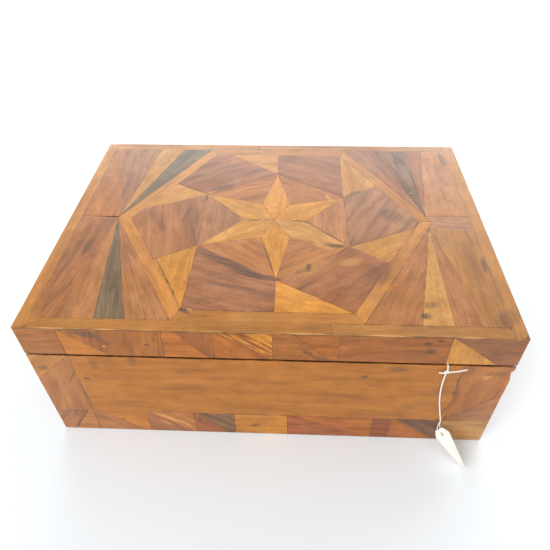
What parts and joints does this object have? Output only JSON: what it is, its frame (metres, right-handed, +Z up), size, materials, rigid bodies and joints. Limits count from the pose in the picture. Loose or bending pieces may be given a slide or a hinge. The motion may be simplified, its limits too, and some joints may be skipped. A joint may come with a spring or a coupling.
{
  "type": "inlaid wooden box",
  "caption": "Oblong hinged wooden box covered in geometric parquetry: a six-pointed star in a hexagon on the lid, banded sides, brass hinges and a blank swing tag.",
  "frame": {"origin": "middle of the box's underside, on the surface it stands on", "axes": "+Z up, front face towards -Y, long sides along X"},
  "size_m": [0.36, 0.2925, 0.135],
  "materials": {
    "pine": "planed pine, glued and unfinished where it is hidden",
    "lining_cloth": "dark red cotton velvet on card",
    "brass": "aged satin brass",
    "light_burr_veneer": "golden burr veneer, shellac polish, satin",
    "brown_veneer": "mid brown figured veneer, shellac polish, satin",
    "dark_veneer": "dark streaked veneer, shellac polish, satin",
    "honey_veneer": "honey-brown plain veneer, shellac polish, satin",
    "mixed_veneer": "mixed light and dark veneers, shellac polish, satin",
    "cotton_string": "white twisted cotton",
    "card": "plain cream card"
  },
  "bodies": {
    "base": {"base_back_board": "pine", "base_back_corners": "brown_veneer", "base_back_foot_band": "mixed_veneer", "base_back_panel": "honey_veneer", "base_bottom_board": "pine", "base_floor_lining": "lining_cloth", "base_front_board": "pine", "base_front_corners": "brown_veneer", "base_front_foot_band": "mixed_veneer", "base_front_panel": "honey_veneer", "base_left_board": "pine", "base_left_corners": "brown_veneer", "base_left_foot_band": "mixed_veneer", "base_left_panel": "honey_veneer", "base_right_board": "pine", "base_right_corners": "brown_veneer", "base_right_foot_band": "mixed_veneer", "base_right_panel": "honey_veneer", "base_wall_lining": "lining_cloth", "hinge_base_leaves": "brass", "hinge_base_screws": "brass", "hinge_pins": "brass", "swing_tag": "card", "tag_knot": "cotton_string", "tag_loop": "cotton_string", "tag_stop_knot": "cotton_string", "tag_string": "cotton_string"},
    "lid": {"hinge_lid_leaves": "brass", "hinge_lid_screws": "brass", "lid_apex_strip": "brown_veneer", "lid_back_facing": "mixed_veneer", "lid_back_rail": "pine", "lid_border_strips": "honey_veneer", "lid_ceiling_lining": "lining_cloth", "lid_dark_quarters": "dark_veneer", "lid_front_facing": "mixed_veneer", "lid_front_rail": "pine", "lid_hexagon_band": "honey_veneer", "lid_left_facing": "mixed_veneer", "lid_left_fan_back": "mixed_veneer", "lid_left_fan_front": "mixed_veneer", "lid_left_rail": "pine", "lid_light_triangles": "light_burr_veneer", "lid_right_facing": "mixed_veneer", "lid_right_fan_back": "mixed_veneer", "lid_right_fan_front": "mixed_veneer", "lid_right_rail": "pine", "lid_star": "light_burr_veneer", "lid_star_ground": "brown_veneer", "lid_top_board": "pine", "lid_wall_lining": "lining_cloth"}
  },
  "joints": [
    {"name": "lid_hinge", "type": "hinge", "parent": "base", "child": "lid", "pos_m": [0, 0.1262, 0.1046], "axis": [-1, 0, 0], "range_deg": [0, 99]}
  ]
}
